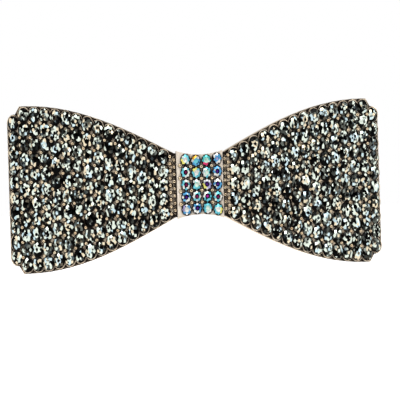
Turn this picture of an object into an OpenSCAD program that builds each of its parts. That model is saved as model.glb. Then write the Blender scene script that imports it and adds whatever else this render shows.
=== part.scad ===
// Bow brooch set with stones: two pave-set wings, a knot plate and a hinged pin with a safety catch.
// Millimetres. +Z is up as worn, the front faces -Y and +X is to the right as seen from the front.
// The origin lies on the axis of the pin stem, in the middle plane of the bow.

/* [Bow] */
// Length of each wing, from the side of the knot to the outer end
wing_len = 34.4; // [29:0.2:42]
// Height of the bow at its outer ends
bow_h = 34.4; // [28:0.2:42]
// Height of the wings where they meet the knot
waist_h = 12.9; // [11:0.1:16]
// Distance from the knot at which the long edges level off
edge_reach = 31; // [24:0.5:40]
// Angle by which each wing sweeps back from the knot
wing_sweep = 12; // [0:1:16]
// Thickness of the wing castings, up to the rims of the cups
wing_t = 2.5; // [2:0.1:4]
// Depth of the hollow in the back of each wing
back_hollow = 0.6; // [0.3:0.05:0.9]
// Width of the raised border round that hollow
back_border = 1.5; // [1:0.1:2.5]

/* [Wing stones] */
// Usual distance between the centres of two stones in a column
row_pitch = 3.1; // [2.8:0.05:4]
// Metal between two stones
stone_gap = 0.21; // [0.15:0.01:0.4]
// Metal between two stones in one column
row_gap = 0.2; // [0.15:0.01:0.5]
// Depth of the pocket that each stone sits in
pocket_d = 0.6; // [0.4:0.05:0.9]
// Height of each stone, from its flat back to its table
stone_t = 1.35; // [1:0.05:1.8]
// Play between a stone and the wall of its pocket
stone_play = 0.03; // [0.02:0.01:0.06]
// Wall of the cups along the edge of the wing
cup_wall = 0.3; // [0.2:0.01:0.4]
// Ledge of the base beyond the cups
base_ledge = 0.15; // [0.1:0.05:0.4]
// Strip of bead prongs between the knot and the first column of stones
first_gap = 1.03; // [0.8:0.01:1.6]
// How much lower the last column ends than the one before it
corner_drop = 1.6; // [1:0.1:3]

/* [Knot] */
// Width of the knot plate
knot_w = 9.3; // [8:0.1:12]
// Height of the knot plate at its corners
knot_h = 13.6; // [12:0.1:17]
// Depth of the hollow curve in the knot's top and bottom edges
knot_sag = 0.8; // [0.3:0.1:1.2]
// How far the knot plate stands in front of the wings
knot_rise = 1.2; // [0.6:0.1:2]
// Thickness of the bridge behind the knot plate
bridge_t = 1.4; // [1:0.1:1.9]
// How far inside the knot's hollow edges the bridge ends
bridge_inset = 0.4; // [0.2:0.05:1]
// Plain border at the sides of the knot plate, on average
knot_border = 0.6; // [0.4:0.05:1]
// How far the knot's stones sit to the right of its middle, beside a column of bead prongs
knot_shift = 0.3; // [0:0.05:0.35]
// Plain border at the top and bottom of the knot plate
knot_edge = 0.1; // [0.1:0.05:0.4]
// Metal between two stones in a row of the knot
knot_gap = 0.35; // [0.2:0.05:0.5]
// Metal between two stones in a column of the knot, at the closest pitch
knot_row_gap = 0.15; // [0.15:0.05:0.4]

/* [Prongs] */
// Radius of a bead prong
bead_r = 0.3; // [0.18:0.01:0.32]
// Height of a bead prong over the rims
bead_h = 0.38; // [0.2:0.01:0.6]
// Clear metal between a bead prong and the stone beside it
bead_clear = 0.06; // [0.04:0.01:0.15]

/* [Pin] */
// Diameter of the pin wire
pin_d = 0.9; // [0.7:0.05:1.2]
// Distance from the hinge axis to the tip of the pin
pin_len = 34.8; // [28:0.2:42]
// Length of the pin's tapered point
point_len = 6.3; // [5.5:0.1:8]
// Radius of the pin's tip
tip_r = 0.08; // [0.05:0.01:0.15]
// Distance from the pin's axis to the bar
pin_gap = 3.2; // [2.9:0.1:4.5]
// Height of the pin's axis above the middle of the bow
pin_rise = 1.5; // [0:0.1:3]
// Collar where the wire leaves the eye: its diameter
collar_d = 1.24; // [1.1:0.02:1.6]
// Collar where the wire leaves the eye: its length
collar_len = 0.9; // [0.6:0.1:1.5]

/* [Hinge] */
// Distance from the middle of the bow to the hinge axis
hinge_x = 16; // [14:0.5:20]
// Radius of the eye that the hinge rivet runs through
eye_r = 1.15; // [1:0.05:1.4]
// Thickness of the eye
eye_t = 1; // [0.95:0.05:1.4]
// Radius of the hinge rivet
rivet_r = 0.36; // [0.3:0.01:0.45]
// Radial play of the eye on the rivet
rivet_play = 0.04; // [0.02:0.01:0.08]
// Play between the eye and each ear
eye_play = 0.06; // [0.03:0.01:0.1]
// Thickness of the two ears
ear_t = 0.6; // [0.4:0.05:0.9]
// Radius of the round end of the ears
ear_r = 1.2; // [1:0.05:1.5]
// Thickness of the rivet's heads
head_t = 0.3; // [0.2:0.05:0.5]
// Radius of the rivet's heads
head_r = 0.65; // [0.55:0.05:0.9]

/* [Catch] */
// Distance from the middle of the bow to the middle of the catch
catch_x = 15.5; // [13:0.5:19]
// Outer radius of the catch barrel
barrel_r = 1.75; // [1.7:0.05:2.1]
// Radius of the safety lock's sleeve
lock_r = 1.15; // [1.1:0.01:1.25]
// Radius of the hole in the safety lock
lock_bore_r = 0.75; // [0.7:0.01:0.8]
// Length of the safety lock's sleeve
lock_len = 2.2; // [1.8:0.1:3]
// Play of the safety lock in the barrel, all round
lock_play = 0.05; // [0.03:0.01:0.08]
// Thickness of the lips at the ends of the barrel
lip_t = 0.4; // [0.3:0.05:0.6]
// Width of the slot in the safety lock
slot_w = 1.2; // [1.1:0.05:1.3]
// Thickness of the safety lock's tab
tab_t = 0.6; // [0.4:0.05:0.7]
// Distance from the pin's axis to the end of the tab
tab_reach = 3.5; // [3:0.1:4.5]
// Length of the tab along the pin
tab_len = 1.6; // [1.2:0.1:2]

/* [Bar] */
// Length of the bar that carries hinge and catch
bar_len = 38; // [36:0.5:48]
// Width of the bar
bar_w = 4.6; // [4:0.1:6]
// Thickness of the bar
bar_t = 0.8; // [0.6:0.05:1.2]
// Thickness of the feet of the hinge and the catch
foot_t = 0.5; // [0.4:0.05:0.7]
// Distance from the middle of the bow to the middle of each solder pad
pad_x = 14; // [10:0.5:15]
// Length of each solder pad
pad_len = 4; // [3:0.5:5]

/* [Hidden] */
// The stones of each column and row are named nodes, so their numbers are fixed.
COLS = 15;
KNOT_COLS = 4;
KNOT_ROWS = 5;
OVAL_SIDES = 16;
STONE_SIDES = 8;
// A stone's table is this share of its outline
TABLE_SHARE = 0.55;
// Clearance between the ends of the bar and the backs of the wings
BAR_CLEAR = 0.3;
// Length of the blocks that only cut, larger than the object
CUT = 200;
// Overlap that lets two shapes of one solid join
JOIN = 0.02;
// Angles round the pin's axis, from +Y towards +Z: middle of the tab with the lock open, and its travel
TAB_ANGLE = 52;
LOCK_TRAVEL = 80;
// Spare angle on each side of the tab's travel
TAB_SPARE = 4;

stone_w = (wing_len - base_ledge - cup_wall - first_gap - (COLS - 1) * stone_gap) / COLS;
col_pitch = stone_w + stone_gap;
wing_rim = cup_wall + base_ledge;
knot_stone_w = (knot_w - 2 * knot_border - (KNOT_COLS - 1) * knot_gap) / KNOT_COLS;
knot_pitch = knot_stone_w + knot_gap;
knot_stone_h = row_pitch_at(0) - knot_row_gap;
bridge_h = 2 * (knot_half_h(0) - bridge_inset);
knot_t = wing_t - bridge_t + knot_rise;

bar_front_y = -pin_gap - bar_t;
wing_back_y = bar_front_y - BAR_CLEAR - tan(wing_sweep) * (bar_len - knot_w) / 2;

barrel_len = lock_len + 2 * (lock_play + lip_t);
groove_r = lock_r + lock_play;
lip_r = lock_bore_r + lock_play;
tab_half_angle = asin(tab_t / 2 / lock_r);
ear_gap = max(eye_t, pin_d) + 2 * eye_play;
pin_r = pin_d / 2;
eye_bore_r = rivet_r + rivet_play;

// Half the height of a wing at the distance u from the knot
function wing_half_h(u) =
    waist_h / 2 + (bow_h - waist_h) / 2 * sin(90 * min(1, max(0, u) / edge_reach));
// Middle of stone column k, counted from 1 beside the knot
function col_u(k) = first_gap + stone_w / 2 + (k - 1) * col_pitch;
// Half the height that the stones of column k fill between the rims
function col_half_h(k) = wing_half_h(col_u(k)) - wing_rim - (k == COLS ? corner_drop : 0);
function col_count(k) = max(2, round((2 * col_half_h(k) + row_gap) / row_pitch));
function stone_h(k) = (2 * col_half_h(k) + row_gap) / col_count(k) - row_gap;
// Height of the top stone's middle in column k
function col_top(k) = col_half_h(k) - stone_h(k) / 2;
// Height of stone i in column k, with i = 0 at the top
function stone_v(k, i) = col_top(k) * (1 - 2 * i / (col_count(k) - 1));
// Half the height of the knot plate at the distance x from its middle
function knot_half_h(x) = knot_h / 2 - knot_sag * (1 - pow(2 * x / knot_w, 2));
function knot_col_x(c) = (c - (KNOT_COLS - 1) / 2) * knot_pitch + knot_shift;
// Distance between the rows of the knot, measured at x from its middle
function row_pitch_at(x) = 2 * (knot_half_h(x) - knot_edge) / KNOT_ROWS;
function knot_row_v(c, r) = ((KNOT_ROWS - 1) / 2 - r) * row_pitch_at(knot_col_x(c));
// Height halfway between rows r and r + 1 of the knot, at x from its middle
function knot_gap_v(x, r) = (KNOT_ROWS / 2 - 1 - r) * row_pitch_at(x);
// Points of an oval with the given width, height and number of sides
function oval(w, h, sides) =
    [for (i = [0:sides - 1]) [w / 2 * cos(360 * i / sides), h / 2 * sin(360 * i / sides)]];
function ring(points, z) = [for (p = points) [p[0], p[1], z]];
// The points of an upper edge again, mirrored below the middle and in reverse order
function mirrored(edge) = [for (p = [len(edge) - 1:-1:0]) [edge[p][0], -edge[p][1]]];
function two_digits(n) = str(n < 10 ? "0" : "", n);

// Stands a shape drawn in the XY plane upright, so that its +Z side faces the front.
module upright() {
    translate([0, 0, -pin_rise]) rotate([90, 0, 0]) children();
}

// Puts a shape drawn in the right wing's own plane, with u along +X, in its place.
module on_right_wing() {
    translate([knot_w / 2, wing_back_y, 0]) rotate([0, 0, wing_sweep]) upright() children();
}

module on_left_wing() {
    mirror([1, 0, 0]) on_right_wing() children();
}

// Puts a shape drawn in the knot's plane on the face at the height z over the wings' backs.
module on_knot(z) {
    translate([0, wing_back_y - z, 0]) upright() children();
}

// A flat-backed stone: an oval foot that tapers to its table.
module stone(w, h, t) {
    n = STONE_SIDES;
    foot = oval(w, h, n);
    polyhedron(
        points = concat(ring(foot, 0), ring(foot * TABLE_SHARE, t)),
        faces = concat(
            [[for (i = [0:n - 1]) i]],
            [[for (i = [n - 1:-1:0]) n + i]],
            [for (i = [0:n - 1]) [i, n + i, n + (i + 1) % n, (i + 1) % n]]
        )
    );
}

// The cups of all stones of a wing, and the field between them.
module cups_2d() {
    for (k = [1:COLS], i = [0:col_count(k) - 1])
        translate([col_u(k), stone_v(k, i)])
            polygon(oval(stone_w + 2 * cup_wall, stone_h(k) + 2 * cup_wall, OVAL_SIDES));
    top = [for (k = [1:COLS]) [col_u(k), col_top(k)]];
    inner = [-wing_t, wing_half_h(0) - wing_rim];
    edge = concat([inner], top);
    polygon(concat(edge, mirrored(edge)));
}

module pockets_2d() {
    for (k = [1:COLS], i = [0:col_count(k) - 1])
        translate([col_u(k), stone_v(k, i)])
            polygon(oval(stone_w + 2 * stone_play, stone_h(k) + 2 * stone_play, OVAL_SIDES));
}

// The outline of a wing's base: smooth long edges, and corners that follow the last column's end stones.
module base_2d() {
    corner_u = col_u(COLS - 1) + stone_w / 2;
    top = [for (k = [1:COLS - 1]) [col_u(k), wing_half_h(col_u(k))]];
    edge = concat(
        [[-wing_t, wing_half_h(0)], [0, wing_half_h(0)]], top,
        [[corner_u, wing_half_h(col_u(COLS - 1))], [col_u(COLS), col_half_h(COLS)]],
        [[wing_len, col_top(COLS)]]
    );
    polygon(concat(edge, mirrored(edge)));
    for (side = [-1, 1])
        translate([col_u(COLS), side * col_top(COLS)])
            polygon(oval(stone_w + 2 * wing_rim, stone_h(COLS) + 2 * wing_rim, OVAL_SIDES));
}

module wing_layers() {
    floor_z = wing_t - pocket_d;
    linear_extrude(back_hollow + JOIN)
        offset(delta = JOIN) offset(delta = -JOIN) difference() {
            base_2d();
            intersection() {
                offset(delta = -back_border) base_2d();
                translate([first_gap, -CUT / 2]) square([CUT, CUT]);
            }
        }
    translate([0, 0, back_hollow]) linear_extrude(floor_z - back_hollow)
        offset(delta = JOIN) offset(delta = -JOIN) base_2d();
    translate([0, 0, floor_z]) linear_extrude(pocket_d)
        offset(delta = JOIN / 2) offset(delta = -JOIN / 2) difference() {
            cups_2d();
            pockets_2d();
        }
}

// One wing, cut where it meets the side of the knot.
module right_wing() {
    difference() {
        on_right_wing() wing_layers();
        translate([knot_w / 2 - CUT, -CUT / 2, -CUT / 2]) cube(CUT);
    }
}

module wing_column(k) {
    for (i = [0:col_count(k) - 1])
        translate([col_u(k), stone_v(k, i), wing_t - pocket_d]) stone(stone_w, stone_h(k), stone_t);
}

module bead() {
    cylinder(r = bead_r, h = bead_h, $fn = 24);
}

// Bead prongs beside the gaps between the stones, and two staggered rows of them next to the knot.
module wing_beads() {
    beside = col_pitch - stone_w / 2 - bead_r - bead_clear;
    for (k = [1:COLS - 1], i = [0:col_count(k) - 2])
        translate([col_u(k) + beside, (stone_v(k, i) + stone_v(k, i + 1)) / 2, wing_t]) bead();
    for (i = [0:0.5:col_count(1) - 1])
        translate([first_gap - bead_r - bead_clear, stone_v(1, i), wing_t]) bead();
    by_knot = bead_r + bead_clear - wing_t * tan(wing_sweep);
    for (i = [0.25:0.5:col_count(1) - 1])
        translate([by_knot, stone_v(1, i), wing_t]) bead();
}

module knot_2d() {
    steps = 12;
    edge = [for (i = [0:steps]) [knot_w * (i / steps - 0.5), knot_half_h(knot_w * (i / steps - 0.5))]];
    polygon(concat(edge, mirrored(edge)));
}

module knot_pockets_2d() {
    for (c = [0:KNOT_COLS - 1], r = [0:KNOT_ROWS - 1])
        translate([knot_col_x(c), knot_row_v(c, r)])
            polygon(oval(knot_stone_w + 2 * stone_play, knot_stone_h + 2 * stone_play, OVAL_SIDES));
}

// The knot plate, with a pocket for each stone.
module knot_setting() {
    color("#dcb999") on_knot(bridge_t) {
        linear_extrude(knot_t - pocket_d) knot_2d();
        translate([0, 0, knot_t - pocket_d]) linear_extrude(pocket_d)
            offset(delta = JOIN) offset(delta = -JOIN) difference() {
                knot_2d();
                knot_pockets_2d();
            }
    }
}

module knot_row(r) {
    for (c = [0:KNOT_COLS - 1])
        translate([knot_col_x(c), knot_row_v(c, r), knot_t - pocket_d])
            stone(knot_stone_w, knot_stone_h, stone_t);
}

module knot_bead_prongs() {
    color("#e3c3a2") on_knot(bridge_t)
        for (c = [0:KNOT_COLS - 1], r = [0:KNOT_ROWS - 2]) {
            x = knot_col_x(c) - knot_pitch / 2;
            translate([x, knot_gap_v(x, r), knot_t]) bead();
        }
}

// The flat plate behind the knot that joins the two wings.
module centre_bridge() {
    color("#d3ad86") on_knot(0) linear_extrude(bridge_t) square([knot_w, bridge_h], center = true);
}

module left_wing_setting() {
    color("#d9b78e") mirror([1, 0, 0]) right_wing();
}

module right_wing_setting() {
    color("#d9b78e") right_wing();
}

module left_bead_prongs() {
    color("#e3c3a2") on_left_wing() wing_beads();
}

module right_bead_prongs() {
    color("#e3c3a2") on_right_wing() wing_beads();
}

module left_stones_col(k) {
    color("#4a5050") on_left_wing() wing_column(k);
}

module right_stones_col(k) {
    color("#4a5050") on_right_wing() wing_column(k);
}

module knot_stones_row(r) {
    color("#8fc4dc") on_knot(bridge_t) knot_row(r - 1);
}

// The flat bar behind the bow.
module pin_bar() {
    color("#cfa978") translate([-bar_len / 2, bar_front_y, -bar_w / 2]) cube([bar_len, bar_t, bar_w]);
}

// A wedge of metal that fills the space between the bar and a wing's hollow back.
module solder_pad() {
    pad_h = bar_w - 2 * foot_t;
    difference() {
        translate([knot_w / 2, wing_back_y, 0]) rotate([0, 0, wing_sweep])
            translate([(pad_x - knot_w / 2) / cos(wing_sweep) - pad_len / 2, -back_hollow, -pad_h / 2])
                cube([pad_len, bar_len, pad_h]);
        translate([-CUT / 2, bar_front_y, -CUT / 2]) cube(CUT);
    }
}

module left_solder_pad() {
    color("#bfa27c") mirror([1, 0, 0]) solder_pad();
}

module right_solder_pad() {
    color("#bfa27c") solder_pad();
}

// Puts a shape drawn with the hinge axis as its Z axis in its place.
module on_hinge() {
    translate([hinge_x, 0, 0]) children();
}

// The foot and two ears that hold the hinge rivet.
module hinge_bracket() {
    ear_h = pin_gap;
    foot_len = 2 * (ear_r + ear_t);
    foot_h = ear_gap + 2 * (ear_t + foot_t);
    color("#d2ac7c") on_hinge() difference() {
        union() {
            translate([-foot_len / 2, -pin_gap, -foot_h / 2]) cube([foot_len, foot_t, foot_h]);
            for (side = [-1, 1])
                translate([0, 0, side * (ear_gap + ear_t) / 2]) {
                    cylinder(r = ear_r, h = ear_t, center = true, $fn = 48);
                    translate([-ear_r, -ear_h, -ear_t / 2]) cube([2 * ear_r, ear_h, ear_t]);
                }
        }
        cylinder(r = rivet_r + rivet_play / 2, h = CUT, center = true, $fn = 48);
    }
}

module hinge_rivet() {
    length = ear_gap + 2 * ear_t;
    color("#b98f5e") on_hinge() {
        cylinder(r = rivet_r, h = length + head_t, center = true, $fn = 48);
        for (side = [0, 1])
            mirror([0, 0, side]) translate([0, 0, length / 2])
                cylinder(r = head_r, h = head_t, $fn = 48);
    }
}

// The pin: an eye on the rivet, a collar, the wire and a long tapered point.
module pin_stem() {
    collar_x = ear_r + eye_play + rivet_play;
    wire_len = pin_len - point_len;
    color("#d8d2c6") on_hinge() difference() {
        union() {
            cylinder(r = eye_r, h = eye_t, center = true, $fn = 48);
            rotate([0, -90, 0]) cylinder(r = pin_r, h = wire_len, $fn = 48);
            translate([-collar_x, 0, 0]) rotate([0, -90, 0])
                cylinder(d = collar_d, h = collar_len, $fn = 48);
            translate([-wire_len, 0, 0]) rotate([0, -90, 0])
                cylinder(r1 = pin_r, r2 = tip_r, h = point_len, $fn = 48);
        }
        cylinder(r = eye_bore_r, h = CUT, center = true, $fn = 48);
    }
}

// A wedge round the pin's axis between two angles from +Y towards +Z, drawn in the YZ plane.
module wedge_2d(from, to, r) {
    steps = 6;
    angles = [for (i = [0:steps]) from + (to - from) * i / steps];
    polygon(concat([[0, 0]], [for (a = angles) r * [cos(a), sin(a)]]));
}

// Extrudes a shape drawn in the YZ plane along X, with its middle at the catch.
module along_catch(length) {
    translate([-catch_x - length / 2, 0, 0]) rotate([90, 0, 90]) linear_extrude(length) children();
}

// A cylinder round the pin's axis, with its middle at the catch.
module round_catch(r, length) {
    translate([-catch_x - length / 2, 0, 0]) rotate([0, 90, 0]) cylinder(r = r, h = length, $fn = 64);
}

// The barrel of the catch on its foot, open at the back, with a groove for the safety lock.
module catch_barrel() {
    open_from = TAB_ANGLE - LOCK_TRAVEL - tab_half_angle - TAB_SPARE;
    open_to = TAB_ANGLE + tab_half_angle + TAB_SPARE;
    neck_w = 2 * groove_r;
    foot_w = bar_w - foot_t;
    color("#d2ac7c") difference() {
        union() {
            round_catch(barrel_r, barrel_len);
            translate([-catch_x - barrel_len / 2, -pin_gap, -neck_w / 2])
                cube([barrel_len, pin_gap, neck_w]);
            translate([-catch_x - barrel_len / 2 - foot_t, -pin_gap, -foot_w / 2])
                cube([barrel_len + 2 * foot_t, foot_t, foot_w]);
        }
        round_catch(groove_r, lock_len + 2 * lock_play);
        round_catch(lip_r, barrel_len + 2 * foot_t);
        along_catch(barrel_len + 2 * JOIN) wedge_2d(open_from, open_to, 2 * barrel_r);
    }
}

// The safety lock: a slotted sleeve in the barrel, turned by its tab.
module safety_lock() {
    color("#c99f6b") difference() {
        union() {
            round_catch(lock_r, lock_len);
            translate([-catch_x, 0, 0]) rotate([TAB_ANGLE, 0, 0])
                translate([-tab_len / 2, 0, -tab_t / 2]) cube([tab_len, tab_reach, tab_t]);
        }
        round_catch(lock_bore_r, lock_len + 2 * JOIN);
        translate([-catch_x - lock_len, 0, -slot_w / 2]) cube([2 * lock_len, lock_r + JOIN, slot_w]);
    }
}

left_wing_setting();
right_wing_setting();
centre_bridge();
knot_setting();
left_bead_prongs();
right_bead_prongs();
knot_bead_prongs();
for (k = [1:COLS]) left_stones_col(k);
for (k = [1:COLS]) right_stones_col(k);
for (r = [1:KNOT_ROWS]) knot_stones_row(r);
pin_bar();
left_solder_pad();
right_solder_pad();
hinge_bracket();
hinge_rivet();
pin_stem();
catch_barrel();
safety_lock();
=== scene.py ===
"""Looks for the bow brooch: cut stones, bead prongs, metals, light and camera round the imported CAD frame."""

import math
import random

import bmesh
import bpy
from mathutils import Matrix, Vector


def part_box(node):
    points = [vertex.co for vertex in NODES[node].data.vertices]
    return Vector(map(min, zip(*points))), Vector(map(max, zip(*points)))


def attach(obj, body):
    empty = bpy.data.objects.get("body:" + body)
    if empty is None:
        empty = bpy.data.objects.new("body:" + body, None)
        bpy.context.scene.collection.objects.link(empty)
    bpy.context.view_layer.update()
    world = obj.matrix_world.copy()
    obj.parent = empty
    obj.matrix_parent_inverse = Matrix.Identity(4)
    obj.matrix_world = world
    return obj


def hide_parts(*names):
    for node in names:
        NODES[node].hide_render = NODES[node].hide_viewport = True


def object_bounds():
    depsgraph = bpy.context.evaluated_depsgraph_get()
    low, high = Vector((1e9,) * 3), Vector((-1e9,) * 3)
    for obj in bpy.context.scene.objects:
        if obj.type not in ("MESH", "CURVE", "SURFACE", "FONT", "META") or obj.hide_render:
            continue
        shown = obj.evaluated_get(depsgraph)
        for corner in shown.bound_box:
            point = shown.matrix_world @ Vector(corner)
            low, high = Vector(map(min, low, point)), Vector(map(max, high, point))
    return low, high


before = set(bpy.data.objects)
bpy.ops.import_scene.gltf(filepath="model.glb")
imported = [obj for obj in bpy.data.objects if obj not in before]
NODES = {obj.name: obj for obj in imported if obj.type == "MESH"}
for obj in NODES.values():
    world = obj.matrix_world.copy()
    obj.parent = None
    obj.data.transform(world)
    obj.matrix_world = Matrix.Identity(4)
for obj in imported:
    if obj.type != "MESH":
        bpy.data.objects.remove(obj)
cad_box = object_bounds()

ROOT = "brooch"
MM = 0.001
UP = Vector((0, 0, 1))
COLUMNS = 15
KNOT_ROWS = 5
SIDES = ("left", "right")
WELD_WITHIN = 0.001 * MM   # points nearer than this are one


# ---------------------------------------------------------------- frame helpers

def column_node(side, k):
    return f"{side}_stones_col_{k:02d}"


def centre(node):
    low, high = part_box(node)
    return (low + high) / 2


class Plane:
    """A flat face of the brooch: u points right, v up and n out of its front."""

    def __init__(self, u):
        self.u = Vector((u.x, u.y, 0)).normalized()
        self.v = UP
        self.n = self.u.cross(self.v)

    def local(self, p):
        return Vector((p.dot(self.u), p.dot(self.v), p.dot(self.n)))

    def world(self, p):
        return self.u * p.x + self.v * p.y + self.n * p.z


def wing_plane(side):
    """The plane of a wing, from the middles of its first and last stone columns."""
    step = centre(column_node(side, COLUMNS)) - centre(column_node(side, 1))
    return Plane(step if step.x > 0 else -step)


PLANES = {"left": wing_plane("left"), "right": wing_plane("right"), "knot": Plane(Vector((1, 0, 0)))}


def islands(node):
    """The separate solids of a CAD node, each as a list of its points."""
    shape = bmesh.new()
    shape.from_mesh(NODES[node].data)
    bmesh.ops.remove_doubles(shape, verts=shape.verts, dist=WELD_WITHIN)
    seen, found = set(), []
    for start in shape.verts:
        if start in seen:
            continue
        seen.add(start)
        stack, group = [start], []
        while stack:
            vert = stack.pop()
            group.append(vert.co.copy())
            for edge in vert.link_edges:
                other = edge.other_vert(vert)
                if other not in seen:
                    seen.add(other)
                    stack.append(other)
        found.append(group)
    shape.free()
    return found


def seats(node, plane):
    """Where each solid of a CAD node sits on its plane: its lowest and highest corner, from the top down."""
    found = []
    for group in islands(node):
        local = [plane.local(p) for p in group]
        low = Vector([min(p[i] for p in local) for i in range(3)])
        high = Vector([max(p[i] for p in local) for i in range(3)])
        found.append((low, high))
    return sorted(found, key=lambda seat: (-round(seat[0].y, 5), seat[0].x))


# ---------------------------------------------------------------- materials

def new_material(name):
    mat = bpy.data.materials.new(name)
    mat.use_nodes = True
    return mat, mat.node_tree.nodes, mat.node_tree.links, mat.node_tree.nodes["Principled BSDF"]


def texture_space(nodes, links, scale):
    """The object's own coordinates, in metres, stretched by scale."""
    coords = nodes.new("ShaderNodeTexCoord")
    mapping = nodes.new("ShaderNodeMapping")
    mapping.inputs["Scale"].default_value = scale
    links.new(coords.outputs["Object"], mapping.inputs["Vector"])
    return mapping.outputs["Vector"]


def noise(nodes, links, space, scale, detail=3.0, roughness=0.55):
    """Noise in the given space; scale is about how many waves it has in a metre."""
    tex = nodes.new("ShaderNodeTexNoise")
    tex.inputs["Scale"].default_value = scale
    tex.inputs["Detail"].default_value = detail
    tex.inputs["Roughness"].default_value = roughness
    links.new(space, tex.inputs["Vector"])
    return tex.outputs["Fac"]


def ramp(nodes, links, fac, stops):
    """Colours along a value; stops are pairs of a place from 0 to 1 and its colour."""
    node = nodes.new("ShaderNodeValToRGB")
    elements = node.color_ramp.elements
    while len(elements) < len(stops):
        elements.new(0.5)
    for element, (place, colour) in zip(elements, stops):
        element.position = place
        element.color = (*colour, 1)
    links.new(fac, node.inputs["Fac"])
    return node.outputs["Color"]


NOISE_SPAN = 0.3, 0.7      # nearly all of a noise lies between these


def remap(nodes, links, value, low, high):
    """Stretches a noise to run from low to high."""
    node = nodes.new("ShaderNodeMapRange")
    node.inputs["From Min"].default_value, node.inputs["From Max"].default_value = NOISE_SPAN
    node.inputs["To Min"].default_value = low
    node.inputs["To Max"].default_value = high
    links.new(value, node.inputs["Value"])
    return node.outputs["Result"]


def bump(nodes, links, bsdf, height, strength, distance):
    node = nodes.new("ShaderNodeBump")
    node.inputs["Strength"].default_value = strength
    node.inputs["Distance"].default_value = distance
    links.new(height, node.inputs["Height"])
    links.new(node.outputs["Normal"], bsdf.inputs["Normal"])


def mix_colour(nodes, links, fac, a, b, blend="MIX"):
    """Mixes two colours; fac, a and b are each a value or the output of a node."""
    node = nodes.new("ShaderNodeMix")
    node.data_type = "RGBA"
    node.blend_type = blend
    for socket, value in ((node.inputs["Factor"], fac), (node.inputs["A"], a), (node.inputs["B"], b)):
        if isinstance(value, bpy.types.NodeSocket):
            links.new(value, socket)
        else:
            socket.default_value = value
    return node.outputs["Result"]


SHADE_REACH = 1.6 * MM   # how near the walls are that cast the painted shade
BACK_SHADE_SHARE = 0.45          # share of that painted shade kept on faces that look to the back
SIDEWAYS = 0.3             # a face that leans less than this to the front or back is a bit of both
CLOUDY = 260               # scale of the slow changes of tone on metal
SCRATCH_DEPTH = 0.02 * MM


def front_weight(nodes, links, behind):
    """1 on faces that look to the front, where the stones are, and behind on faces that look to the back."""
    coords = nodes.new("ShaderNodeTexCoord")
    split = nodes.new("ShaderNodeSeparateXYZ")
    links.new(coords.outputs["Normal"], split.inputs["Vector"])
    node = nodes.new("ShaderNodeMapRange")
    node.inputs["From Min"].default_value, node.inputs["From Max"].default_value = -SIDEWAYS, SIDEWAYS
    node.inputs["To Min"].default_value, node.inputs["To Max"].default_value = 1, behind
    links.new(split.outputs["Y"], node.inputs["Value"])
    return node.outputs["Result"]


def metal(
    name, light, dark, hollow_shade, roughness, grain, scratch, brushed=(1, 1, 1), shade_fade=(0.15, 0.75), polish=1.0
):
    """Plated metal: tone and gloss that vary, fine scratches, and painted shade where the surface is hemmed
    in.

    Scratches have the scale grain and the strength scratch, and brushed squeezes them along each axis. The
    painted shade fades out as the share of open space round a point goes from the first of its two fade values
    to the second.
    """
    mat, nodes, links, bsdf = new_material(name)
    space = texture_space(nodes, links, (1, 1, 1))
    streaks = texture_space(nodes, links, brushed)
    cloudy = noise(nodes, links, space, CLOUDY)
    fine = noise(nodes, links, streaks, grain, detail=6, roughness=0.65)
    tone = ramp(nodes, links, cloudy, [(0.32, dark), (0.68, light)])
    # Painted shade: ambient occlusion darkens the tone towards the shade colour in hollows and between stones,
    # less on the back
    occlusion = nodes.new("ShaderNodeAmbientOcclusion")
    occlusion.samples = 8
    occlusion.inputs["Distance"].default_value = SHADE_REACH
    shade = ramp(nodes, links, occlusion.outputs["AO"], [(shade_fade[0], (1, 1, 1)), (shade_fade[1], (0, 0, 0))])
    painted_shade = nodes.new("ShaderNodeMath")
    painted_shade.operation = "MULTIPLY"
    links.new(shade, painted_shade.inputs[0])
    links.new(front_weight(nodes, links, BACK_SHADE_SHARE), painted_shade.inputs[1])
    shaded_tone = mix_colour(nodes, links, painted_shade.outputs["Value"], tone, (*hollow_shade, 1))
    links.new(shaded_tone, bsdf.inputs["Base Color"])
    bsdf.inputs["Metallic"].default_value = polish
    links.new(remap(nodes, links, fine, roughness[0], roughness[1]), bsdf.inputs["Roughness"])
    bump(nodes, links, bsdf, fine, scratch, SCRATCH_DEPTH)
    return mat


INNER_CLOUD, GLOSS_CHANGE, POLISH_MARKS = 1500, 900, 2600      # scales of the noises in cut glass
POLISH_DEPTH = 0.01 * MM
GLASS_IOR = 1.5


def stone_glass(name, metallic, roughness, coat):
    """Foil-backed cut glass: each facet has its own flat tone, with painted glints, painted dark reflections
    and a painted dark outline among them, and faint cloudiness inside.
    """
    mat, nodes, links, bsdf = new_material(name)
    facet = nodes.new("ShaderNodeAttribute")
    facet.attribute_name = "facet"
    space = texture_space(nodes, links, (1, 1, 1))
    cloud = noise(nodes, links, space, INNER_CLOUD, detail=4)
    veil = ramp(nodes, links, cloud, [(0.3, (0.78, 0.82, 0.82)), (0.7, (1.0, 1.0, 1.0))])
    tone = mix_colour(nodes, links, 1.0, facet.outputs["Color"], veil, "MULTIPLY")
    links.new(tone, bsdf.inputs["Base Color"])
    gloss = noise(nodes, links, space, GLOSS_CHANGE)
    links.new(remap(nodes, links, gloss, roughness[0], roughness[1]), bsdf.inputs["Roughness"])
    bsdf.inputs["Metallic"].default_value = metallic
    bsdf.inputs["IOR"].default_value = GLASS_IOR
    bsdf.inputs["Specular IOR Level"].default_value = 0.05
    bsdf.inputs["Coat Weight"].default_value = coat
    bsdf.inputs["Coat Roughness"].default_value = 0.03
    marks = noise(nodes, links, space, POLISH_MARKS, detail=2)
    bump(nodes, links, bsdf, marks, 0.06, POLISH_DEPTH)
    return mat


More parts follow.
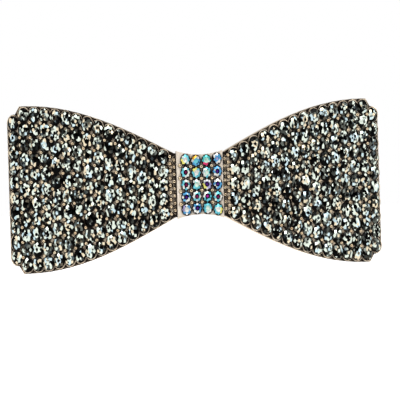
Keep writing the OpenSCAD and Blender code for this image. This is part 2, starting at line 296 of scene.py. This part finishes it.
ROSE_GOLD = metal(
    "rose_gold", light=(0.97, 0.83, 0.64), dark=(0.90, 0.71, 0.50), hollow_shade=(0.014, 0.007, 0.003),
    roughness=(0.28, 0.46), grain=5200, scratch=0.45, shade_fade=(0.76, 0.87), polish=0.6
)
CHAMPAGNE = metal(
    "champagne_satin", light=(0.98, 0.88, 0.75), dark=(0.92, 0.79, 0.65), hollow_shade=(0.02, 0.011, 0.006),
    roughness=(0.32, 0.48), grain=6800, scratch=0.3, shade_fade=(0.7, 0.85), polish=0.5
)
BEAD_GOLD = metal(
    "bead_gold", light=(0.99, 0.84, 0.60), dark=(0.93, 0.69, 0.43), hollow_shade=(0.03, 0.014, 0.006),
    roughness=(0.12, 0.24), grain=4200, scratch=0.12, shade_fade=(0.42, 0.64), polish=0.7
)
PIN_GOLD = metal(
    "pin_gold", light=(0.86, 0.66, 0.40), dark=(0.74, 0.54, 0.31), hollow_shade=(0.22, 0.14, 0.07),
    roughness=(0.2, 0.4), grain=2600, scratch=0.5, brushed=(1, 9, 9)
)
LOCK_GOLD = metal(
    "lock_gold", light=(0.84, 0.61, 0.35), dark=(0.70, 0.49, 0.27), hollow_shade=(0.20, 0.12, 0.06),
    roughness=(0.14, 0.3), grain=3000, scratch=0.35, brushed=(9, 1, 1)
)
RIVET_BRASS = metal(
    "rivet_brass", light=(0.74, 0.55, 0.34), dark=(0.58, 0.41, 0.24), hollow_shade=(0.14, 0.09, 0.05),
    roughness=(0.24, 0.46), grain=3600, scratch=0.5
)
SOLDER = metal(
    "solder", light=(0.62, 0.58, 0.50), dark=(0.48, 0.43, 0.36), hollow_shade=(0.14, 0.11, 0.08),
    roughness=(0.36, 0.6), grain=2400, scratch=0.8
)
STEEL_WIRE = metal(
    "steel_wire", light=(0.80, 0.79, 0.77), dark=(0.66, 0.65, 0.63), hollow_shade=(0.22, 0.21, 0.20),
    roughness=(0.12, 0.26), grain=2600, scratch=0.3, brushed=(1, 14, 14)
)
SMOKY_GLASS = stone_glass("smoky_glass", metallic=0.25, roughness=(0.05, 0.16), coat=0.02)
IRIDESCENT_GLASS = stone_glass("iridescent_glass", metallic=0.3, roughness=(0.04, 0.12), coat=0.08)


# ---------------------------------------------------------------- cut stones

CUT = 8                    # main facets round a stone
GIRDLE = 2 * CUT
# Heights on a stone, as shares of its own: where it leaves its pocket, its girdle, its table and its top
RIM_HIGH = 0.445
GIRDLE_LOW, GIRDLE_HIGH = 0.56, 0.62
TABLE_HIGH, CULET_HIGH = 0.94, 1.0
# Widths of its rings, as shares of its girdle
FOOT_SHARE, RIM_SHARE = 0.9, 0.97
TABLE_SHARE, STAR_SHARE, HEART_SHARE = 0.5, 0.79, 0.25
TILT = 3.5                 # most that a stone leans in its pocket, in degrees


def around(count, share, z, half_step=False):
    """Points of a ring on a stone of unit width and height."""
    turn = 0.5 if half_step else 0
    angles = [2 * math.pi * (i + turn) / count for i in range(count)]
    return [Vector((share * math.cos(a) / 2, share * math.sin(a) / 2, z)) for a in angles]


def star_height():
    """Height of the star ring at which the kite facets are flat."""
    reach = STAR_SHARE * math.cos(math.pi / CUT)
    return GIRDLE_HIGH + (1 - reach) * (TABLE_HIGH - GIRDLE_HIGH) / (1 - TABLE_SHARE)


def cut_facets():
    """The facets of a cut stone of unit size: (kind, sector, ring points) for each, with outward winding."""
    foot, rim = around(GIRDLE, FOOT_SHARE, 0), around(GIRDLE, RIM_SHARE, RIM_HIGH)
    low, high = around(GIRDLE, 1, GIRDLE_LOW), around(GIRDLE, 1, GIRDLE_HIGH)
    star = around(CUT, STAR_SHARE, star_height(), True)
    table = around(CUT, TABLE_SHARE, TABLE_HIGH)
    heart = around(CUT, HEART_SHARE, (TABLE_HIGH + CULET_HIGH) / 2, True)
    tip = Vector((0, 0, CULET_HIGH))
    facets = [("back", 0, list(reversed(foot)))]
    for i in range(GIRDLE):
        j = (i + 1) % GIRDLE
        facets.append(("back", i // 2, [foot[i], foot[j], rim[j], rim[i]]))
        facets.append(("back", i // 2, [rim[i], rim[j], low[j], low[i]]))
        facets.append(("girdle", i // 2, [low[i], low[j], high[j], high[i]]))
    for i in range(CUT):
        before, after = (i - 1) % CUT, (i + 1) % CUT
        facets.append(("kite", i, [high[2 * i], star[i], table[i], star[before]]))
        facets.append(("edge", i, [high[2 * i], high[2 * i + 1], star[i]]))
        facets.append(("edge", i, [high[2 * i + 1], high[2 * after], star[i]]))
        facets.append(("star", i, [table[i], star[i], table[after]]))
        facets.append(("table", i, [table[i], table[after], heart[i]]))
        facets.append(("table", i, [table[i], heart[i], heart[before]]))
        facets.append(("heart", i, [heart[before], heart[i], tip]))
    return facets


FACETS = cut_facets()


def add_stone(shape, layer, plane, seat, spread, tone, rng):
    """Adds one cut stone on its seat. Its girdle overhangs the seat by spread: (left, right), (down, up)."""
    low, high = seat
    size = high - low
    middle = (low + high) / 2
    tilt = Matrix.Rotation(math.radians(rng.uniform(-TILT, TILT)), 3, "X")
    tilt = tilt @ Matrix.Rotation(math.radians(rng.uniform(-TILT, TILT)), 3, "Y")
    pivot = Vector((0, 0, GIRDLE_HIGH * size.z))
    made = {}

    def vert(p):
        key = tuple(round(c, 6) for c in p)
        if key not in made:
            q = Vector((p.x * size.x, p.y * size.y, p.z * size.z))
            if p.z > RIM_HIGH:
                for axis, (before, after) in enumerate(spread):
                    q[axis] += p[axis] * (before + after) + (after - before) / 2
            q = tilt @ (q - pivot) + pivot + Vector((middle.x, middle.y, low.z))
            q.z = min(max(q.z, low.z), high.z)
            made[key] = shape.verts.new(plane.world(q))
        return made[key]

    for kind, sector, points in FACETS:
        face = shape.faces.new([vert(p) for p in points])
        colour = tone(kind, sector)
        for loop in face.loops:
            loop[layer] = (*colour, 1)


DARK, MIDDLE, FLASH = (0.0, 0.001), (0.012, 0.2), (0.96, 1.0)      # ranges of a facet's tone: painted dark reflection, middle, painted glint
# Shares of dark and of flashing facets in each place of a smoky stone, and for the facets that stray
RING_MIX, TABLE_MIX, HEART_MIX = (0.34, 0.4), (0.5, 0.2), (0.5, 0.35)
EDGE_MIX, STRAY_MIX = (0.82, 0.06), (0.4, 0.35)
WHOLE_TABLE, WHOLE_SECTOR = 0.6, 0.45      # chance that a facet has the one tone of its table or its sector
GREENISH, BLUISH, AMBERISH = (0.93, 1.0, 0.88), (0.74, 0.92, 0.98), (1.0, 0.84, 0.6)
SMOKY_TINTS = [GREENISH] * 6 + [BLUISH] * 2 + [AMBERISH] * 2


def pick(rng, mix, gloom=1):
    """A facet tone: dark or flashing with the shares of its mix, else in between. Gloom adds dark ones."""
    dark, flash = mix
    draw = rng.random()
    if draw < dark * gloom:
        return rng.uniform(*DARK)
    if draw > 1 - flash:
        return rng.uniform(*FLASH)
    return rng.uniform(*MIDDLE)


def smoky_tone(rng, gloom):
    """Facet tones of a smoky stone: a dark outline of painted shade, sectors of painted glints and painted
    dark reflections, and a mostly even table.
    """
    ring = [(pick(rng, RING_MIX, gloom), rng.choice(SMOKY_TINTS)) for _ in range(CUT)]
    table = (pick(rng, TABLE_MIX, gloom), rng.choice(SMOKY_TINTS))
    heart = (pick(rng, HEART_MIX, gloom), rng.choice(SMOKY_TINTS))

    def tone(kind, sector):
        # The back and girdle, and most edge facets, are painted near black: the shade in the gap round the
        # stone
        if kind in ("back", "girdle"):
            value, tint = DARK[1], GREENISH
        elif kind == "edge":
            value, tint = pick(rng, EDGE_MIX, gloom), GREENISH
        elif kind == "table":
            value, tint = table if rng.random() < WHOLE_TABLE else ring[sector]
        elif kind == "heart":
            value, tint = heart
        elif rng.random() < WHOLE_SECTOR:
            value, tint = ring[sector]
        else:
            value, tint = pick(rng, STRAY_MIX), rng.choice(SMOKY_TINTS)
        return tuple(value * c for c in tint)

    return tone


# Hues of the iridescent coating; each stone has a ring, a table, a heart and a flash, which is a painted glint
CYAN, AZURE, LAVENDER = (0.17, 0.64, 0.76), (0.12, 0.42, 0.76), (0.46, 0.4, 0.68)
MINT, FROST, TEAL = (0.6, 0.93, 0.76), (1.0, 0.98, 0.92), (0.12, 0.62, 0.6)
INK, PLUM, MAROON, MAGENTA = (0.002, 0.002, 0.01), (0.09, 0.02, 0.26), (0.24, 0.015, 0.09), (0.6, 0.03, 0.4)
AMBER, LEMON, RUBY = (1.0, 0.48, 0.05), (0.98, 0.90, 0.22), (0.90, 0.06, 0.20)
COATINGS = {
    "dawn": (CYAN, FROST, FROST, LEMON),
    "ember": (AZURE, CYAN, CYAN, AMBER),
    "rose": (TEAL, MINT, MINT, RUBY),
    "azure": (AZURE, AZURE, LAVENDER, FROST),
    "mint": (CYAN, MINT, FROST, FROST),
    "night": (LAVENDER, INK, PLUM, LEMON),
    "plum": (AZURE, INK, PLUM, FROST),
    "maroon": (CYAN, INK, MAROON, FROST),
    "magenta": (CYAN, INK, MAGENTA, FROST),
    "frost": (AZURE, FROST, FROST, LAVENDER),
}
KNOT_COATINGS = [          # from the top row down, each from left to right
    ["dawn", "ember", "rose", "azure"],
    ["maroon", "dawn", "mint", "plum"],
    ["maroon", "mint", "night", "plum"],
    ["plum", "maroon", "magenta", "maroon"],
    ["frost", "plum", "mint", "dawn"],
]
FLASH_SECTORS = 2          # how many sectors of a coated stone flash
PURE_RING = 0.7            # chance that a ring facet has the ring's own hue
COATED_RANGE = 0.7, 1.0    # how bright a coated facet is


def coated_tone(rng, coating):
    """An iridescent stone's facet tones: a dark outline of painted shade, the ring, table and heart hues of
    its coating, and a painted glint for its flash.
    """
    ring_hue, table_hue, heart_hue, flash_hue = COATINGS[coating]
    flashing = rng.randrange(CUT)

    def tone(kind, sector):
        # The back, girdle and edge facets are ink: a painted dark outline, the shade in the gap round the
        # stone
        if kind in ("back", "girdle"):
            return INK
        if kind == "edge":
            hue = INK
        elif kind == "table":
            hue = table_hue
        elif kind == "heart":
            hue = heart_hue
        elif (sector - flashing) % CUT < FLASH_SECTORS:
            hue = flash_hue
        else:
            hue = ring_hue if rng.random() < PURE_RING else rng.choice((FROST, FROST, INK))
        value = rng.uniform(*COATED_RANGE)
        return tuple(value * c for c in hue)

    return tone


def finish_mesh(shape, name, material, slot, *replaced):
    """Turns a bmesh into a piece that rides on the brooch and stands for CAD nodes."""
    bmesh.ops.recalc_face_normals(shape, faces=shape.faces)
    mesh = bpy.data.meshes.new(name)
    shape.to_mesh(mesh)
    shape.free()
    mesh.materials.append(material)
    piece = bpy.data.objects.new(name, mesh)
    bpy.context.scene.collection.objects.link(piece)
    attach(piece, ROOT)
    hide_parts(*replaced)
    return piece


SEAM = 0.05 * MM           # left between two girdles
FULLEST = 0.24 * MM        # most that a girdle overhangs its seat
KNOT_OVERHANG = 0.045 * MM
BARE = 0.01 * MM           # overhang at the edge of the wing, where the rim of the cup shows
GLOOM, GLOOM_FADE = 1.1, 0.02      # painted light: the right wing has fewer dark facets with each column outwards, so its outer end looks more lit
STONE_SEED = 7


def overhang(seat_size, pitch):
    """How far a girdle overhangs its seat when it nearly meets the next one."""
    return min(FULLEST, (pitch - seat_size - SEAM) / 2)


def cut_column(side, k, rng):
    """The cut stones of one wing column."""
    node = column_node(side, k)
    plane = PLANES[side]
    column_seats = seats(node, plane)
    low, high = column_seats[0]
    beside = column_node(side, k + 1 if k < COLUMNS else k - 1)
    across = abs((plane.local(centre(beside)) - plane.local(centre(node))).x)
    wide = overhang(high.x - low.x, across)
    tall = overhang(high.y - low.y, low.y - column_seats[1][0].y)
    outer = BARE if k == COLUMNS else wide
    shape = bmesh.new()
    layer = shape.loops.layers.float_color.new("facet")
    gloom = GLOOM if side == "left" else GLOOM - GLOOM_FADE * k
    for i, seat in enumerate(column_seats):
        up = BARE if i == 0 else tall
        down = BARE if i == len(column_seats) - 1 else tall
        spread = ((outer, wide) if side == "left" else (wide, outer), (down, up))
        add_stone(shape, layer, plane, seat, spread, smoky_tone(rng, gloom), rng)
    finish_mesh(shape, f"{node}_cut", SMOKY_GLASS, "smoky_stone", node)


def cut_knot_row(r, rng):
    """The cut stones of one row of the knot."""
    node = f"knot_stones_row_{r}"
    plane = PLANES["knot"]
    shape = bmesh.new()
    layer = shape.loops.layers.float_color.new("facet")
    in_row = sorted(seats(node, plane), key=lambda seat: seat[0].x)
    spread = ((KNOT_OVERHANG, KNOT_OVERHANG),) * 2
    for seat, coating in zip(in_row, KNOT_COATINGS[r - 1]):
        add_stone(shape, layer, plane, seat, spread, coated_tone(rng, coating), rng)
    finish_mesh(shape, f"{node}_cut", IRIDESCENT_GLASS, "iridescent_stone", node)


stone_rng = random.Random(STONE_SEED)
for side in SIDES:
    for k in range(1, COLUMNS + 1):
        cut_column(side, k, stone_rng)
for r in range(1, KNOT_ROWS + 1):
    cut_knot_row(r, stone_rng)


# ---------------------------------------------------------------- bead prongs

BEAD_TURNS = 16
# A dimpled bead from its foot over the crest into the dimple: (share of its radius, share of its height)
BEAD_PROFILE = [(1.02, 0.0), (1.12, 0.3), (1.06, 0.62), (0.86, 0.9), (0.66, 1.0), (0.46, 0.88), (0.3, 0.58)]
DIMPLE_FLOOR = 0.45


def add_bead(shape, plane, low, high):
    """Adds one dimpled bead on the CAD prong between low and high."""
    middle = (low + high) / 2
    radius = (high.x - low.x) / 2

    def vert(share, rise, angle):
        reach = radius * share
        z = low.z + rise * (high.z - low.z)
        p = Vector((middle.x + reach * math.cos(angle), middle.y + reach * math.sin(angle), z))
        return shape.verts.new(plane.world(p))

    angles = [2 * math.pi * i / BEAD_TURNS for i in range(BEAD_TURNS)]
    rings = [[vert(share, rise, a) for a in angles] for share, rise in BEAD_PROFILE]
    bottom = vert(0, DIMPLE_FLOOR, 0)
    for i in range(BEAD_TURNS):
        j = (i + 1) % BEAD_TURNS
        for lower, upper in zip(rings, rings[1:]):
            shape.faces.new((lower[i], lower[j], upper[j], upper[i]))
        shape.faces.new((rings[-1][i], rings[-1][j], bottom))
    shape.faces.new(list(reversed(rings[0])))


for part in (*SIDES, "knot"):
    shape = bmesh.new()
    for low, high in seats(f"{part}_bead_prongs", PLANES[part]):
        add_bead(shape, PLANES[part], low, high)
    for face in shape.faces:
        face.smooth = len(face.verts) <= 4
    finish_mesh(shape, f"{part}_beads", BEAD_GOLD, "bead_metal", f"{part}_bead_prongs")


# ---------------------------------------------------------------- metal parts that stay CAD

SHARP = 32                 # edges sharper than this many degrees are rounded


def dress(node, material, bevel=0.0):
    """Gives a CAD node its material, and rounds its edges by bevel millimetres."""
    obj = NODES[node]
    obj.data.materials.clear()
    obj.data.materials.append(material)
    if bevel:
        weld = obj.modifiers.new("weld", "WELD")
        weld.merge_threshold = WELD_WITHIN
        rounding = obj.modifiers.new("rounding", "BEVEL")
        rounding.width = bevel * MM
        rounding.segments = 2
        rounding.limit_method = "ANGLE"
        rounding.angle_limit = math.radians(SHARP)


dress("left_wing_setting", ROSE_GOLD, 0.05)
dress("right_wing_setting", ROSE_GOLD, 0.05)
dress("centre_bridge", ROSE_GOLD, 0.12)
dress("knot_setting", CHAMPAGNE)
dress("pin_bar", PIN_GOLD, 0.15)
dress("left_solder_pad", SOLDER, 0.15)
dress("right_solder_pad", SOLDER, 0.15)
dress("hinge_bracket", PIN_GOLD, 0.08)
dress("hinge_rivet", RIVET_BRASS, 0.08)
dress("pin_stem", STEEL_WIRE, 0.05)
dress("catch_barrel", PIN_GOLD, 0.08)
dress("safety_lock", LOCK_GOLD, 0.08)


# ---------------------------------------------------------------- stage, light and camera

def add_object(name, data):
    obj = bpy.data.objects.new(name, data)
    bpy.context.scene.collection.objects.link(obj)
    return obj


FLOOR_GLOW = 0.15, 0.75    # what the floor adds to its own shade: for the brooch, and in view
FLOOR_HALF = 4.0
FLOOR_DROP = 28 * MM       # how far the floor lies under the brooch


def floor():
    """A wide pale floor, well under the brooch."""
    level = cad_box[0].z - FLOOR_DROP
    shape = bmesh.new()
    corners = [(x * FLOOR_HALF, y * FLOOR_HALF, level) for x, y in ((-1, -1), (1, -1), (1, 1), (-1, 1))]
    shape.faces.new([shape.verts.new(corner) for corner in corners])
    mesh = bpy.data.meshes.new("floor")
    shape.to_mesh(mesh)
    shape.free()
    mat, nodes, links, bsdf = new_material("pale_floor")
    bsdf.inputs["Base Color"].default_value = (0.93, 0.93, 0.93, 1)
    bsdf.inputs["Roughness"].default_value = 0.9
    bsdf.inputs["Emission Color"].default_value = (1, 1, 1, 1)
    path = nodes.new("ShaderNodeLightPath")
    glow = nodes.new("ShaderNodeMapRange")
    glow.inputs["To Min"].default_value, glow.inputs["To Max"].default_value = FLOOR_GLOW
    links.new(path.outputs["Is Camera Ray"], glow.inputs["Value"])
    links.new(glow.outputs["Result"], bsdf.inputs["Emission Strength"])
    mesh.materials.append(mat)
    add_object("floor", mesh)


def softbox(name, azimuth, elevation, distance, size, glow):
    """A rectangular area light that looks at the middle of the brooch; glow is the brightness of its face."""
    data = bpy.data.lights.new(name, "AREA")
    data.shape = "RECTANGLE"
    data.size, data.size_y = size
    data.energy = glow * math.pi * size[0] * size[1]
    lamp = add_object(name, data)
    a, e = math.radians(azimuth), math.radians(elevation)
    away = Vector((math.sin(a) * math.cos(e), -math.cos(a) * math.cos(e), math.sin(e)))
    lamp.location = away * distance
    lamp.rotation_mode = "QUATERNION"
    lamp.rotation_quaternion = away.to_track_quat("Z", "Y")


def sky():
    """White behind the object; the light it gives is soft, and dim in front, where a camera would stand."""
    world = bpy.data.worlds.new("studio")
    bpy.context.scene.world = world
    world.use_nodes = True
    nodes, links = world.node_tree.nodes, world.node_tree.links
    shine = nodes["Background"]
    coords = nodes.new("ShaderNodeTexCoord")
    split = nodes.new("ShaderNodeSeparateXYZ")
    links.new(coords.outputs["Generated"], split.inputs["Vector"])
    place = nodes.new("ShaderNodeMapRange")
    place.inputs["From Min"].default_value = -1
    links.new(split.outputs["Y"], place.inputs["Value"])
    # How bright it is from the front round to the back
    stops = [(0.0, 0.01), (0.1, 0.03), (0.2, 0.75), (0.45, 0.8), (0.6, 0.35), (1.0, 0.2)]
    tone = ramp(nodes, links, place.outputs["Result"], [(at, (value,) * 3) for at, value in stops])
    links.new(tone, shine.inputs["Color"])
    shine.inputs["Strength"].default_value = 1.0
    backdrop = nodes.new("ShaderNodeBackground")
    backdrop.inputs["Color"].default_value = (1, 1, 1, 1)
    path = nodes.new("ShaderNodeLightPath")
    mix = nodes.new("ShaderNodeMixShader")
    links.new(path.outputs["Is Camera Ray"], mix.inputs["Fac"])
    links.new(shine.outputs["Background"], mix.inputs[1])
    links.new(backdrop.outputs["Background"], mix.inputs[2])
    links.new(mix.outputs["Shader"], nodes["World Output"].inputs["Surface"])


def camera():
    """Level with the brooch, a little to its left, and turned a little so that the right wing rides up."""
    azimuth, roll = -4.6, -1.75                     # degrees
    distance, field = 215 * MM, 80 * MM             # how far away it is, and how wide its view is there
    aside, lower = 0.14 * MM, 3.12 * MM             # where it looks, from the middle of the knot
    sensor = 36
    target = centre("knot_setting")
    target.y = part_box("knot_setting")[0].y
    a = math.radians(azimuth)
    back = Vector((math.sin(a), -math.cos(a), 0))
    right = Vector((math.cos(a), math.sin(a), 0))
    data = bpy.data.cameras.new("camera")
    data.sensor_width = sensor
    data.lens = sensor * distance / field
    data.clip_start, data.clip_end = 0.01, 20
    cam = add_object("camera", data)
    cam.location = target + back * distance - right * aside - UP * lower
    cam.rotation_mode = "QUATERNION"
    turn = Matrix.Rotation(math.radians(roll), 3, back)
    cam.rotation_quaternion = (turn @ back.to_track_quat("Z", "Y").to_matrix()).to_quaternion()
    bpy.context.scene.camera = cam


floor()
softbox("key", azimuth=-38, elevation=38, distance=0.5, size=(0.24, 0.24), glow=6)
softbox("fill", azimuth=52, elevation=20, distance=0.5, size=(0.14, 0.3), glow=4.2)
softbox("top", azimuth=0, elevation=74, distance=0.45, size=(0.34, 0.1), glow=4.8)
softbox("rear_left", azimuth=215, elevation=30, distance=0.5, size=(0.2, 0.2), glow=0.9)
softbox("rear_right", azimuth=140, elevation=12, distance=0.5, size=(0.1, 0.3), glow=0.9)
sky()
camera()

bpy.context.scene.view_settings.view_transform = "Standard"
bpy.context.view_layer.update()
